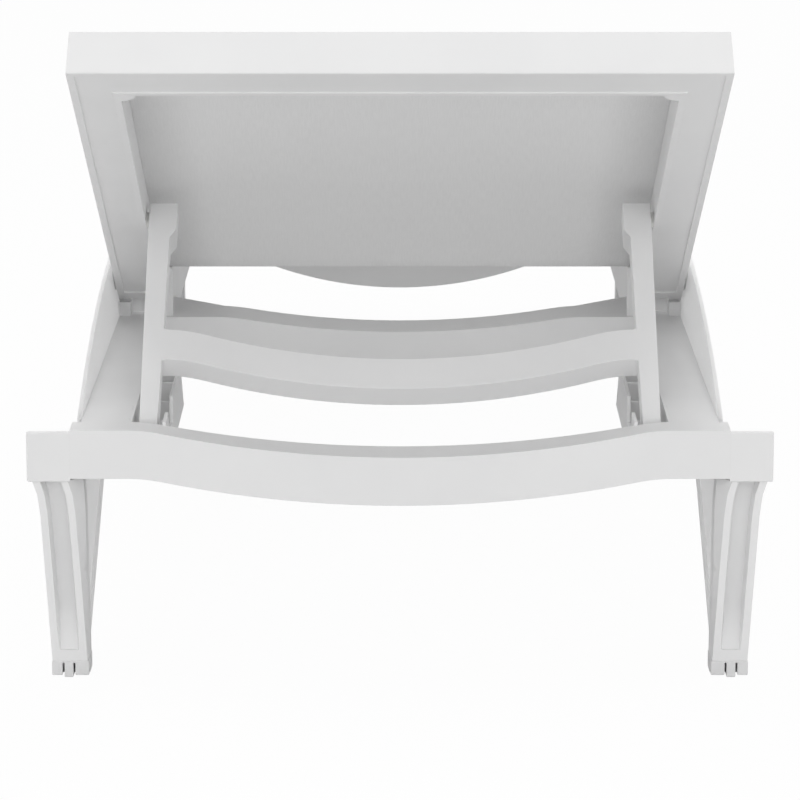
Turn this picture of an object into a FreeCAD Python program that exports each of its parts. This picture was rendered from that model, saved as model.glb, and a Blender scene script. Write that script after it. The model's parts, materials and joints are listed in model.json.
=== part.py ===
import FreeCAD, Part
import os
import re
import Sketcher

# A stacking resin sun lounger: a base on four legs, a reclining back with a woven sling, and a prop that
# swings under the back and lands in the racks beside the base rails.
#
# The part's frame: +Z up, Y runs from the head end (-) to the foot end (+), X = 0 is the plane of symmetry,
# and Z = 0 is the floor. All sizes are millimetres and degrees.

SIZES = (
    # base
    ("head_face_y", -864.5),      # front face of the head crossbar
    ("base_length", 1790.0),      # head crossbar face to foot crossbar face
    ("ledge_z", 241.0),           # top of the rails at the head end
    ("seat_rise", 62.0),          # seat rails above the ledge
    ("rail_outer", 302.0),        # half the width over the rails
    ("rail_width", 45.0),
    ("rail_depth", 49.0),
    ("rail_wall", 4.0),
    ("seat_start", 603.0),        # where the rails step up to the seat, from the head face
    ("boss_width", 12.0),         # low boss on the rail's outer edge in front of that step
    ("boss_depth", 31.0),
    ("boss_rise", 15.2),
    ("panel_wall", 4.0),          # side panel outside the rail
    ("panel_flare", 8.0),         # how far its top edge leans out
    ("panel_head_rise", 1.0),     # side panel above the ledge beside the head legs
    ("panel_sweep_end", 590.0),   # where its rising curve reaches the seat
    ("panel_sweep_radius", 3800.0),
    # bars across the base
    ("bar_height", 46.5),
    ("bar_wall", 3.5),
    ("bar_depth", 38.0),
    ("bar_overhang", 8.0),        # head and foot bars past the rails
    ("bow_sag", 26.0),
    ("bow_margin", 2.0),          # from a rail to the bowed stretch
    ("bow_shoulder", 30.0),       # and the short arc at each of its ends
    ("bow_back", 11.0),           # extra depth at the middle
    ("hinge_bar_y", 567.0),
    ("hinge_bar_depth", 128.0),   # where it meets the rails
    ("hinge_bar_waist", 66.0),    # and over its middle
    ("hinge_bar_flare", 66.0),    # length of each flared end
    ("hinge_bar_sag", 16.3),
    ("hinge_bar_margin", 59.0),
    ("hinge_bar_shoulder", 33.0),
    ("lug_width", 12.0),          # upright lug on it, just inside the back's side rail
    ("lug_depth", 12.5),
    ("lug_rise", 53.0),
    ("lug_gap", 0.5),
    ("seat_bar_y", 1112.0),
    ("seat_bar_depth", 36.0),
    ("seat_bar_drop", 8.0),       # ends of its lower edge below the ledge
    ("seat_bar_sag", 60.0),
    ("seat_bar_margin", 7.0),
    ("seat_bar_shoulder", 45.0),
    ("seat_bar_height", 44.0),
    # legs
    ("leg_front", 5.0),
    ("leg_depth", 40.0),
    ("leg_top_out", 44.2),        # outer face past the rail's, from the top down
    ("leg_bend_out", 39.6),
    ("leg_knee_out", 37.0),
    ("leg_shin_out", 33.3),
    ("leg_foot_out", 28.0),
    ("leg_top_in", 2.8),          # inner face inside the rail's outer face
    ("leg_knee_in", 4.6),
    ("leg_foot_in", 6.0),
    ("leg_bend_z", 178.0),
    ("leg_knee_z", 158.0),
    ("leg_shin_z", 103.0),
    ("leg_ridge", 6.8),           # flat edge outside the channel
    ("leg_inner_ridge", 6.5),     # and inside it
    ("leg_channel", 20.0),
    ("leg_channel_depth", 17.0),
    ("leg_channel_slope", 2.0),
    ("leg_channel_fade", 70.0),   # where its bed starts to come forward, above the floor
    ("leg_channel_end", 27.0),    # and where it ends
    ("leg_channel_last", 2.0),    # its depth there
    ("leg_slope_depth", 15.0),    # from the inner edge of the front back to the inner face
    ("block_width", 40.7),
    ("block_drop", 49.5),
    ("block_depth", 60.0),
    ("block_sink", 1.5),          # its top below the bar's
    ("block_top_depth", 4.0),
    ("block_slope", 22.0),
    ("spigot_wall", 4.0),         # leg around the stub of the block that plugs into it
    ("spigot_width", 14.0),
    ("spigot_depth", 16.0),
    ("spigot_length", 30.0),
    ("pad_height", 16.0),
    ("pad_roof", 2.0),
    ("pad_slot", 1.8),
    ("pad_lobe", 10.0),           # its outer lobe
    ("pad_tongue", 8.5),          # its middle lobe
    ("pad_overlap", 0.6),         # pad past the leg all round
    ("pad_lift", 2.0),            # side lobes above the floor
    ("arch_knee_y", 269.0),       # where the arch between the legs turns level
    ("arch_knee_z", 131.0),
    ("arch_end_y", 420.0),
    ("arch_radius", 420.0),
    ("arch_toe", 9.0),
    ("rim_reach", 3.5),
    ("rim_width", 7.0),
    # back
    ("recline", 27.1),            # the back above level as it stands
    ("pivot_y", 573.0),
    ("pivot_rise", 42.0),
    ("back_length", 719.0),
    ("back_tail", 17.0),          # back frame past its pivot, along its outer edge
    ("back_tail_inner", 11.0),    # and inside that
    ("back_draft", 2.5),          # its outer sides lean in toward the top
    ("back_overhang", 0.6),       # half the back's width past the rail's outer face
    ("back_thickness", 40.0),
    ("back_bar", 60.0),           # head bar of the back frame
    ("corner_radius", 14.0),
    ("under_margin", 7.0),        # shallow recess in the underside of the back frame
    ("under_recess", 1.4),
    ("under_end", 10.0),
    ("pin_boss_radius", 13.0),
    ("hinge_pin_radius", 5.0),
    ("hinge_pin_length", 44.0),
    ("pin_head_radius", 9.0),
    ("pin_head", 3.0),
    ("bush_wall", 2.0),
    ("bush_length", 34.0),
    ("running_gap", 0.05),
    # sling
    ("sling_thickness", 1.2),
    ("lip_width", 5.0),
    ("lip_recess", 3.0),
    ("groove_width", 8.0),
    ("groove_depth", 10.0),
    ("rod_radius", 3.6),
    ("cloth_gap", 0.3),
    ("cloth_end", 8.0),           # back sling past the pivot
    # prop
    ("prop_pivot_back", 248.5),   # prop pivot from the back's pivot, along the back
    ("prop_pivot_drop", 14.0),    # and below the middle of the back's thickness
    ("prop_angle", 30.0),         # prop below level as it stands
    ("prop_length", 312.0),
    ("prop_clearance", 6.2),      # prop's legs from the inner side of the racks' slots
    ("prop_leg", 22.3),           # width of a leg at its pivot
    ("prop_toe", 17.3),           # and at its foot
    ("prop_thickness", 24.0),
    ("prop_head_extra", 5.7),
    ("prop_head_length", 30.0),
    ("prop_head_taper", 12.0),
    ("prop_bar_start", 183.0),
    ("prop_bar_width", 44.0),
    ("prop_bar_thickness", 22.0),
    ("prop_bar_sag", 38.5),
    ("prop_bar_shoulder", 41.2),
    ("prop_pin_radius", 3.5),
    ("prop_pin_grip", 14.0),
    ("prop_pin_reach", 19.0),     # into the prop's head
    ("prop_washer", 4.0),         # washer past the pin all round
    # rack
    ("rack_lip", 3.0),
    ("slot_width", 29.0),
    ("rack_wall", 3.4),
    ("rack_drop", 51.0),
    ("rack_top_end", 300.0),
    ("rack_bottom_end", 352.0),
    ("rack_stop_y", 316.0),       # low wall behind the last tooth
    ("rack_stop_drop", 11.0),
    ("cradle_start", 90.0),       # dip in the guard that takes the prop's bar when the back lies flat
    ("cradle_end", 150.0),
    ("cradle_depth", 25.0),
    ("cradle_slope", 8.0),
    ("tooth_first", 96.0),
    ("tooth_pitch", 64.0),
    ("tooth_height", 12.0),
    ("tooth_climb", 6.0),         # each tooth above the one before
    ("tooth_length", 22.0),
    ("tooth_crest", 6.0),
    # fasteners
    ("screw_radius", 2.5),
    ("screw_head_radius", 5.0),
    ("screw_head", 2.6),
    ("screw_length", 16.0),
    ("screw_recess", 1.2),
    ("panel_screw_length", 7.0),
    ("screw_inset", 22.0),        # end screws from the rail's outer face
)

# Sizes that follow from those above: the sheet works them out.
TIED = (
    ("rail_inner", "rail_outer-rail_width"),                    # half the width between the rails
    ("bow_end", "rail_inner-bow_margin"),                       # half the width of a bowed stretch
    ("bow_turn", "bow_end-bow_shoulder"),                       # and of its long arc
    ("hinge_bar_neck", "rail_inner-hinge_bar_flare"),
    ("hinge_bar_end", "rail_inner-hinge_bar_margin"),
    ("hinge_bar_turn", "hinge_bar_end-hinge_bar_shoulder"),
    ("seat_bar_end", "rail_inner-seat_bar_margin"),
    ("seat_bar_turn", "seat_bar_end-seat_bar_shoulder"),
    ("slot_outer", "rail_inner-rack_lip"),                      # the racks' slots, from the middle
    ("slot_inner", "slot_outer-slot_width"),
    ("prop_inner", "slot_inner+prop_clearance"),                # half the width between the prop's legs
    ("prop_bar_turn", "prop_inner-prop_bar_shoulder"),
)

TEETH = 4
PANEL_SCREWS = (0.08, 0.25, 0.42, 0.59, 0.76, 0.92)     # as shares of the base's length
SCREW_LOW, SCREW_HIGH = "0.3", "0.7"                    # of a pair, as shares of the width they share
OVER = "1"                # how far two features of one piece run into each other, or a cut past a face
UNDER = "60"              # how far a cut runs past a whole piece
HALF_CIRCLE = "*1.0001"   # from half the chord to the radius of an arc that is almost half a circle
SIDES = (("left", -1), ("right", 1))
ENDS = (("head", 1), ("foot", -1))

doc = FreeCAD.newDocument("sun_lounger")
sizes = doc.addObject("Spreadsheet::Sheet", "Sizes")
ROWS = SIZES + tuple((alias, "=" + text) for alias, text in TIED)
for row, (alias, size) in enumerate(ROWS, 1):
    sizes.set(f"A{row}", alias)
    sizes.set(f"B{row}", str(size))
    sizes.setAlias(f"B{row}", alias)
doc.recompute()

ALIASES = {alias for alias, size in ROWS}
WORD = re.compile(r"[a-z_]+")


def bound(text):
    """An expression over the sheet's aliases, as another object of the document reads it."""
    return WORD.sub(lambda word: "Sizes." + word[0] if word[0] in ALIASES else word[0], text)


def number(text):
    result = sizes.evalExpression(text)
    return float(getattr(result, "Value", result))


def signed(side, text):
    return f"({text})" if side > 0 else f"-({text})"


def along(end, text):
    """A distance from the head face (end 1) or from the foot face (end -1), in the part's frame."""
    return f"(head_face_y+({text}))" if end > 0 else f"(head_face_y+base_length-({text}))"


def above(text):
    return f"(ledge_z+({text}))"


# ---- sketches and features -------------------------------------------------------------------------------

def flip(outline):
    """The same outline seen in a mirror: every arc bends the other way."""
    turned = {"+": "-", "-": "+"}
    return [point if len(point) == 2 else (point[0], point[1], turned[point[2][0]] + point[2][1:])
            for point in outline]


def arc_centre(first, last, radius):
    """Centre of the short arc between two points, on the left of the way along it for a positive radius."""
    chord = last - first
    reach = (radius ** 2 - (chord.Length / 2) ** 2) ** 0.5
    left = FreeCAD.Vector(-chord.y, chord.x, 0).normalize()
    return (first + last) / 2 + left * reach * (1 if radius > 0 else -1)


def add_outline(sketch, outline):
    """Adds a closed outline. A point is (x, y), or (x, y, "+radius") or (x, y, "-radius") where the edge that
    leaves it is an arc about a centre on its left or on its right."""
    corners = [FreeCAD.Vector(number(point[0]), number(point[1]), 0) for point in outline]
    first_edge = sketch.GeometryCount
    starts = []
    for index, point in enumerate(outline):
        here = corners[index]
        there = corners[(index + 1) % len(corners)]
        if len(point) == 2:
            sketch.addGeometry(Part.LineSegment(here, there), False)
            starts.append((1, 2))
            continue
        side = 1 if point[2][0] == "+" else -1
        radius = number(point[2][1:])
        centre = arc_centre(here, there, side * radius)
        begin, finish = (here, there) if side > 0 else (there, here)
        circle = Part.Circle(centre, FreeCAD.Vector(0, 0, 1), radius)
        sketch.addGeometry(Part.ArcOfCircle(circle, circle.parameter(begin),
                                            circle.parameter(finish)), False)
        starts.append((1, 2) if side > 0 else (2, 1))
        rule = sketch.addConstraint(Sketcher.Constraint("Radius", first_edge + index, radius))
        sketch.setExpression(f"Constraints[{rule}]", bound(point[2][1:]))
    for index, point in enumerate(outline):
        following = (index + 1) % len(outline)
        sketch.addConstraint(Sketcher.Constraint("Coincident", first_edge + index, starts[index][1],
                                                 first_edge + following, starts[following][0]))
        for kind, place, text in (("DistanceX", corners[index].x, point[0]),
                                  ("DistanceY", corners[index].y, point[1])):
            rule = sketch.addConstraint(Sketcher.Constraint(kind, -1, 1, first_edge + index,
                                                            starts[index][0], place))
            sketch.setExpression(f"Constraints[{rule}]", bound(text))


def add_circle(sketch, x, y, radius):
    edge = sketch.addGeometry(Part.Circle(FreeCAD.Vector(number(x), number(y), 0), FreeCAD.Vector(0, 0, 1),
                                          number(radius)), False)
    for kind, element, text in (("DistanceX", 3, x), ("DistanceY", 3, y)):
        rule = sketch.addConstraint(Sketcher.Constraint(kind, -1, 1, edge, element, number(text)))
        sketch.setExpression(f"Constraints[{rule}]", bound(text))
    rule = sketch.addConstraint(Sketcher.Constraint("Radius", edge, number(radius)))
    sketch.setExpression(f"Constraints[{rule}]", bound(radius))


def sketch_on(body, plane, start, shapes):
    """A sketch parallel to one of the body's planes, start along that plane's normal. Each shape is an
    outline, or a circle as (x, y, radius) texts in a tuple."""
    sketch = body.newObject("Sketcher::SketchObject", "Outline")
    planes = {item.Role: item for item in body.Origin.OriginFeatures}
    sketch.AttachmentSupport = [(planes[plane + "_Plane"], "")]
    sketch.MapMode = "FlatFace"
    sketch.setExpression("AttachmentOffset.Base.z", bound(start))
    for shape in shapes:
        if isinstance(shape, tuple):
            add_circle(sketch, *shape)
        else:
            add_outline(sketch, shape)
    return sketch


def extrude(body, kind, plane, low, high, shapes):
    """A Pad or Pocket between two places on the axis across the plane. XZ sketches face -Y."""
    start = f"-({high})" if plane == "XZ" else low
    sketch = sketch_on(body, plane, start, shapes)
    feature = body.newObject("PartDesign::" + kind, kind)
    feature.Profile = sketch
    feature.setExpression("Length", bound(f"({high})-({low})"))
    feature.Reversed = kind == "Pocket"
    sketch.Visibility = False
    return feature


def box(body, kind, x, y, z):
    outline = [(x[0], y[0]), (x[1], y[0]), (x[1], y[1]), (x[0], y[1])]
    return extrude(body, kind, "XY", z[0], z[1], [outline])


def piece(label):
    body = doc.addObject("PartDesign::Body", label)
    body.Label = label
    return body


def spread(side, low, high):
    """A span of X on one side, as its lower and upper ends."""
    return (f"({low})", f"({high})") if side > 0 else (f"-({high})", f"-({low})")


def span_y(end, low, high):
    """A span of Y measured from one end, as its lower and upper ends."""
    return (along(1, low), along(1, high)) if end > 0 else (along(-1, high), along(-1, low))


def bow(level, sag, end, turn, way, toward=-1):
    """The points of a level line that bows by sag between x = -end and x = end, run along +X (way 1) or -X.
    Two short arcs ease it into one long arc."""
    ratio = f"((({end})^2+({sag})^2)/(2*({sag})*({end})))"
    shoulder = f"(({level})+({toward})*({sag})*(1-({turn})/({end})))"
    short, long = f"(({end})-({turn}))*{ratio}", f"({turn})*{ratio}"
    signs = ("-", "+", "-") if way * toward < 0 else ("+", "-", "+")
    first, last = (f"-({end})", f"({end})") if way > 0 else (f"({end})", f"-({end})")
    near, far = (f"-({turn})", f"({turn})") if way > 0 else (f"({turn})", f"-({turn})")
    return [(first, level, signs[0] + short), (near, shoulder, signs[1] + long),
            (far, shoulder, signs[2] + short), (last, level)]


def bar_outline(reach, top, bottom, top_bow, bottom_bow):
    """The front view of a bowed bar."""
    return [(f"-({reach})", bottom)] + bow(bottom, *bottom_bow, 1) + [(reach, bottom), (reach, top)] \
        + bow(top, *top_bow, -1) + [(f"-({reach})", top)]


BAR_REACH = "(rail_outer+bar_overhang)"
BLOCK_OUTER = "(rail_outer+bar_overhang+block_width)"
LEG_BACK = "(leg_front+leg_depth)"
BACK_HALF = "(rail_outer+back_overhang)"
PIN_SEAT = "(rail_outer+panel_wall+panel_flare)"
HINGE_Y = along(1, "pivot_y")
HINGE_Z = above("pivot_rise")
MAIN_BOW = ("bow_sag", "bow_end", "bow_turn")
SEAT_BOW = ("seat_bar_sag", "seat_bar_end", "seat_bar_turn")
HINGE_BOW = ("hinge_bar_sag", "hinge_bar_end", "hinge_bar_turn")


# ---- where the screws go: (x, y, z, way) at the seat of each head ------------------------------------------

def end_screw_spots(end):
    """Through the back wall of the head or foot bar into the end of each rail."""
    seat = along(1, "bar_depth-bar_wall") if end > 0 else along(-1, "back_bar-bar_wall")
    level = above("-rail_depth/2") if end > 0 else above("seat_rise-lip_recess-groove_depth-rail_depth/2")
    return [(signed(side, "rail_outer-screw_inset"), seat, level, end) for name, side in SIDES]


def bar_screw_spots(side):
    """Through a rail's inner wall into the ends of the hinge bar and the seat bar."""
    x = signed(side, "rail_inner+rail_wall")
    hinge_z = above("-bar_height/2")
    middle = along(1, "seat_bar_y+seat_bar_depth/2")
    return [(x, along(1, f"hinge_bar_y+hinge_bar_waist*{SCREW_LOW}"), hinge_z, -side),
            (x, along(1, f"hinge_bar_y+hinge_bar_waist*{SCREW_HIGH}"), hinge_z, -side),
            (x, middle, above(f"seat_bar_height*{SCREW_LOW}-seat_bar_drop"), -side),
            (x, middle, above(f"seat_bar_height*{SCREW_HIGH}-seat_bar_drop"), -side)]


def panel_screw_spots(side):
    """Through a rail's outer wall into the side panel."""
    x, z = signed(side, "rail_outer-rail_wall"), above("-rail_depth/2")
    return [(x, along(1, f"base_length*{share}"), z, side) for share in PANEL_SCREWS]


# ---- base: the bars across -------------------------------------------------------------------------------

BOW_RATIO = "((bow_end^2+bow_sag^2)/(2*bow_sag*bow_end))"
BOW_SHOULDER = "(bow_sag*(1-bow_turn/bow_end))"


def cavity_under_bow(half, wall):
    """The hollow under a bowed top, as a front view: its roof follows the long arc of the bow."""
    low, shoulder = above(f"-bar_height-bow_sag-{UNDER}"), above(f"-({wall})-{BOW_SHOULDER}-{OVER}")
    return [(f"-({half})", low), (half, low), (half, shoulder, f"-bow_turn*{BOW_RATIO}"),
            (f"-({half})", shoulder)]


def head_crossbar():
    """A moulded bar, open below and, beside the racks, open behind so that the prop's feet can slide in."""
    body = piece("head_crossbar")
    extrude(body, "Pad", "XZ", along(1, "0"), along(1, "bar_depth+bow_back"),
            [bar_outline(BAR_REACH, above("0"), above("-bar_height"), MAIN_BOW, MAIN_BOW)])
    back, behind = along(1, "bar_depth"), along(1, f"bar_depth+bow_back+{UNDER}")
    edge = bow(back, "bow_back", "bow_end", "bow_turn", 1, 1)
    extrude(body, "Pocket", "XY", above(f"-bar_height-bow_sag-{UNDER}"), above(UNDER),
            [[(f"-{BAR_REACH}-{OVER}", back)] + edge + [(f"{BAR_REACH}+{OVER}", back),
                                                        (f"{BAR_REACH}+{OVER}", behind),
                                                        (f"-{BAR_REACH}-{OVER}", behind)]])
    extrude(body, "Pocket", "XZ", along(1, "bar_wall"), along(1, "bar_depth-bar_wall"),
            [cavity_under_bow("slot_inner-rack_wall-bar_wall", "bar_wall")])
    below = above(f"-bar_height-{UNDER}")
    for name, side in SIDES:
        box(body, "Pocket", spread(side, "slot_inner-rack_wall", "bow_end"), (back, behind),
            (below, above(OVER)))
        box(body, "Pocket", spread(side, "slot_inner", "slot_outer"), (along(1, "bar_wall"), behind),
            (below, above("-1.5*bar_wall")))
        box(body, "Pocket", spread(side, "slot_outer+rail_wall", f"{BAR_REACH}-rail_wall"),
            (along(1, "bar_wall"), along(1, "bar_depth-bar_wall")), (below, above("-bar_wall")))
    for x, y, z, way in end_screw_spots(1):
        extrude(body, "Pocket", "XZ", along(1, f"bar_depth-bar_wall-{OVER}"), along(1, f"bar_depth+{OVER}"),
                [(x, z, "screw_radius")])
    return body


def foot_crossbar():
    """The bar at the foot end: level on top, where it holds the sling's hem, and bowed below."""
    body = piece("foot_crossbar")
    low, high = above("seat_rise-bar_height"), above("seat_rise")
    outline = [(f"-{BAR_REACH}", low)] + bow(low, *MAIN_BOW, 1) + [(BAR_REACH, low), (BAR_REACH, high),
                                                                   (f"-{BAR_REACH}", high)]
    extrude(body, "Pad", "XZ", along(-1, "back_bar"), along(-1, "0"), [outline])
    reach, roof = f"({BAR_REACH}-bar_wall)", above("seat_rise-lip_recess-groove_depth-2*bar_wall")
    below = above(f"-{UNDER}")
    inner = [(f"-{reach}", roof), (reach, roof), (reach, below), (f"-{reach}", below)]
    extrude(body, "Pocket", "XZ", along(-1, "back_bar-bar_wall"), along(-1, "bar_wall"), [inner])
    edge, past = along(-1, "back_bar"), f"{high}+{OVER}"
    lip = (f"{edge}-{OVER}", f"{edge}+lip_width")
    box(body, "Pocket", ("-rail_inner-lip_width", "rail_inner+lip_width"), lip, (f"{high}-lip_recess", past))
    box(body, "Pocket", ("-rail_inner", "rail_inner"),
        (f"{edge}+lip_width", f"{edge}+lip_width+groove_width"), (f"{high}-groove_depth", past))
    for name, side in SIDES:
        box(body, "Pocket", spread(side, "rail_inner+lip_width", "rail_inner+lip_width+groove_width"),
            lip, (f"{high}-groove_depth", past))
    for x, y, z, way in end_screw_spots(-1):
        extrude(body, "Pocket", "XZ", along(-1, f"back_bar+{OVER}"), along(-1, f"back_bar-bar_wall-{OVER}"),
                [(x, z, "screw_radius")])
    return body


def hinge_crossbar():
    """The wide bar under the back's hinge, narrower at its middle."""
    body = piece("hinge_crossbar")
    front, far = along(1, "hinge_bar_y"), along(1, "hinge_bar_y+hinge_bar_depth")
    extrude(body, "Pad", "XZ", front, far,
            [bar_outline("rail_inner", above("0"), above("-bar_height"), HINGE_BOW, HINGE_BOW)])
    waist = along(1, "hinge_bar_y+hinge_bar_waist")
    extrude(body, "Pocket", "XY", above(f"-bar_height-hinge_bar_sag-{UNDER}"), above(UNDER),
            [[("-rail_inner", f"{far}+{OVER}"), ("-rail_inner", far), ("-hinge_bar_neck", waist),
              ("hinge_bar_neck", waist), ("rail_inner", far), ("rail_inner", f"{far}+{OVER}")]])
    for name, side in SIDES:
        box(body, "Pad", spread(side, "rail_inner-lug_gap-lug_width", "rail_inner-lug_gap"),
            (HINGE_Y, f"{HINGE_Y}+lug_depth"), (above(f"-{OVER}"), above("lug_rise")))
    box(body, "Pocket", ("-rail_inner+bar_wall", "rail_inner-bar_wall"),
        (along(1, "hinge_bar_y+bar_wall"), along(1, "hinge_bar_y+hinge_bar_waist-bar_wall")),
        (above(f"-bar_height-{UNDER}"), above("-hinge_bar_sag-bar_wall")))
    bar_end_holes(body, slice(0, 2))
    return body


def bar_end_holes(body, chosen):
    """Pilot holes for the screws that come through the rails."""
    for name, side in SIDES:
        for x, y, z, way in bar_screw_spots(side)[chosen]:
            x = spread(side, "rail_inner+rail_wall-screw_length", f"rail_inner+{OVER}")
            extrude(body, "Pocket", "YZ", *x, [(y, z, "screw_radius")])


def seat_crossbar():
    """The bar under the middle of the seat, hung low so that the sling can give."""
    body = piece("seat_crossbar")
    bottom = above("-seat_bar_drop")
    top = above("seat_bar_height-seat_bar_drop")
    extrude(body, "Pad", "XZ", along(1, "seat_bar_y"), along(1, "seat_bar_y+seat_bar_depth"),
            [bar_outline("rail_inner", top, bottom, SEAT_BOW, SEAT_BOW)])
    bar_end_holes(body, slice(2, 4))
    return body


# ---- base: the sides -------------------------------------------------------------------------------------

def side_rail(name, side):
    """A rail, open below: a low ledge beside the back, then the raised edge of the seat."""
    body = piece(f"side_rail_{name}")
    near, far = along(1, "bar_depth"), along(-1, "back_bar")
    step, low, ledge, seat = along(1, "seat_start"), above("-rail_depth"), above("0"), above("seat_rise")
    x = spread(side, "rail_inner", "rail_outer")
    extrude(body, "Pad", "YZ", *x, [[(near, low), (far, low), (far, seat), (step, seat), (step, ledge),
                                     (near, ledge)]])
    x = spread(side, "rail_inner+rail_wall", "rail_outer-rail_wall")
    below, roof = above(f"-rail_depth-{UNDER}"), "seat_rise-lip_recess-groove_depth-rail_wall"
    near_in, far_in, step_in = f"{near}+rail_wall", f"{far}-rail_wall", f"{step}+rail_wall"
    extrude(body, "Pocket", "YZ", *x,
            [[(near_in, below), (far_in, below), (far_in, above(roof)), (step_in, above(roof)),
              (step_in, above("-rail_wall")), (near_in, above("-rail_wall"))]])
    sling_edge(body, side, (f"{step}+rail_wall", f"{far}+{UNDER}"), seat)
    box(body, "Pad", spread(side, "rail_outer-boss_width", "rail_outer"),
        (f"{step}-boss_depth", f"{step}+{OVER}"), (above(f"-{OVER}"), above("boss_rise")))
    for x, y, z, way in bar_screw_spots(side):
        extrude(body, "Pocket", "YZ", *spread(side, f"rail_inner-{OVER}", f"rail_inner+rail_wall+{OVER}"),
                [(y, z, "screw_radius")])
    for x, y, z, way in panel_screw_spots(side):
        extrude(body, "Pocket", "YZ", *spread(side, f"rail_outer-rail_wall-{OVER}", f"rail_outer+{OVER}"),
                [(y, z, "screw_radius")])
    for end, low, high in ((1, f"{near}-{OVER}", f"{near_in}+{OVER}"),
                           (-1, f"{far_in}-{OVER}", f"{far}+{OVER}")):
        spot = [spot for spot in end_screw_spots(end) if spot[0] == signed(side, "rail_outer-screw_inset")][0]
        extrude(body, "Pocket", "XZ", low, high, [(spot[0], spot[2], "screw_radius")])
    return body


def sling_edge(body, side, y, top):
    """The recess and the groove that take the sling's edge and its rod, along a side."""
    box(body, "Pocket", spread(side, f"rail_inner-{UNDER}", "rail_inner+lip_width"), y,
        (f"({top})-lip_recess", f"({top})+{UNDER}"))
    box(body, "Pocket", spread(side, "rail_inner+lip_width", "rail_inner+lip_width+groove_width"), y,
        (f"({top})-groove_depth", f"({top})+{UNDER}"))


def side_panel(name, side):
    """The outer panel: leaning out, it sweeps up from the head leg to the seat, over an arch."""
    body = piece(f"side_panel_{name}")
    knee, end, toe = "arch_knee_y", "arch_end_y", f"{LEG_BACK}+arch_toe"
    floor, rail, seat = "pad_height", above("-rail_depth"), above("seat_rise")
    notch = above("seat_rise-bar_height")
    outline = [(along(1, LEG_BACK), floor), (along(1, toe), floor),
               (along(1, knee), "arch_knee_z", "-arch_radius"), (along(1, end), rail),
               (along(-1, end), rail, "-arch_radius"), (along(-1, knee), "arch_knee_z"),
               (along(-1, toe), floor), (along(-1, LEG_BACK), floor),
               (along(-1, LEG_BACK), notch), (along(-1, "back_bar"), notch), (along(-1, "back_bar"), seat),
               (along(1, "panel_sweep_end"), seat, "+panel_sweep_radius"),
               (along(1, LEG_BACK), above("panel_head_rise"))]
    extrude(body, "Pad", "YZ", *spread(side, "rail_outer", "rail_outer+panel_flare+panel_wall"), [outline])
    crest = f"{seat}+{OVER}"
    inside = [("rail_outer", above("0")), ("rail_outer+panel_flare", seat), ("rail_outer+panel_flare", crest),
              (f"rail_outer-{OVER}", crest), (f"rail_outer-{OVER}", above("0"))]
    beside, past = "rail_outer+panel_wall", f"rail_outer+panel_wall+panel_flare+{OVER}"
    outside = [(beside, f"-{OVER}"), (past, f"-{OVER}"), (past, crest), (f"{beside}+panel_flare", crest),
               (f"{beside}+panel_flare", seat), (beside, above("0"))]
    for shape, last in ((inside, along(1, "seat_start")), (outside, along(-1, "0"))):
        extrude(body, "Pocket", "XZ", along(1, "0"), last, [[(signed(side, x), z) for x, z in shape]])
    for label, finish in ENDS:
        strip = [(along(finish, LEG_BACK), floor), (along(finish, toe), floor),
                 (along(finish, knee), "arch_knee_z", "-arch_radius"), (along(finish, end), rail),
                 (along(finish, f"{end}-2*rim_width"), rail, "+arch_radius-rim_width"),
                 (along(finish, knee), "arch_knee_z+rim_width"),
                 (along(finish, toe), f"{floor}+rim_width"), (along(finish, LEG_BACK), f"{floor}+rim_width")]
        if finish < 0:
            strip = flip(strip)
        extrude(body, "Pad", "YZ", *spread(side, "rail_outer-rim_reach", f"rail_outer+{OVER}"), [strip])
    extrude(body, "Pad", "YZ", *spread(side, f"{BACK_HALF}+cloth_gap", PIN_SEAT),
            [(HINGE_Y, HINGE_Z, "pin_boss_radius")])
    extrude(body, "Pocket", "YZ", *spread(side, f"rail_outer-{OVER}", f"{PIN_SEAT}+{OVER}"),
            [(HINGE_Y, HINGE_Z, "hinge_pin_radius")])
    x_span = spread(side, f"rail_outer-{OVER}", "rail_outer-rail_wall+panel_screw_length")
    for x, y, z, way in panel_screw_spots(side):
        extrude(body, "Pocket", "YZ", *x_span, [(y, z, "screw_radius")])
    return body


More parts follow.
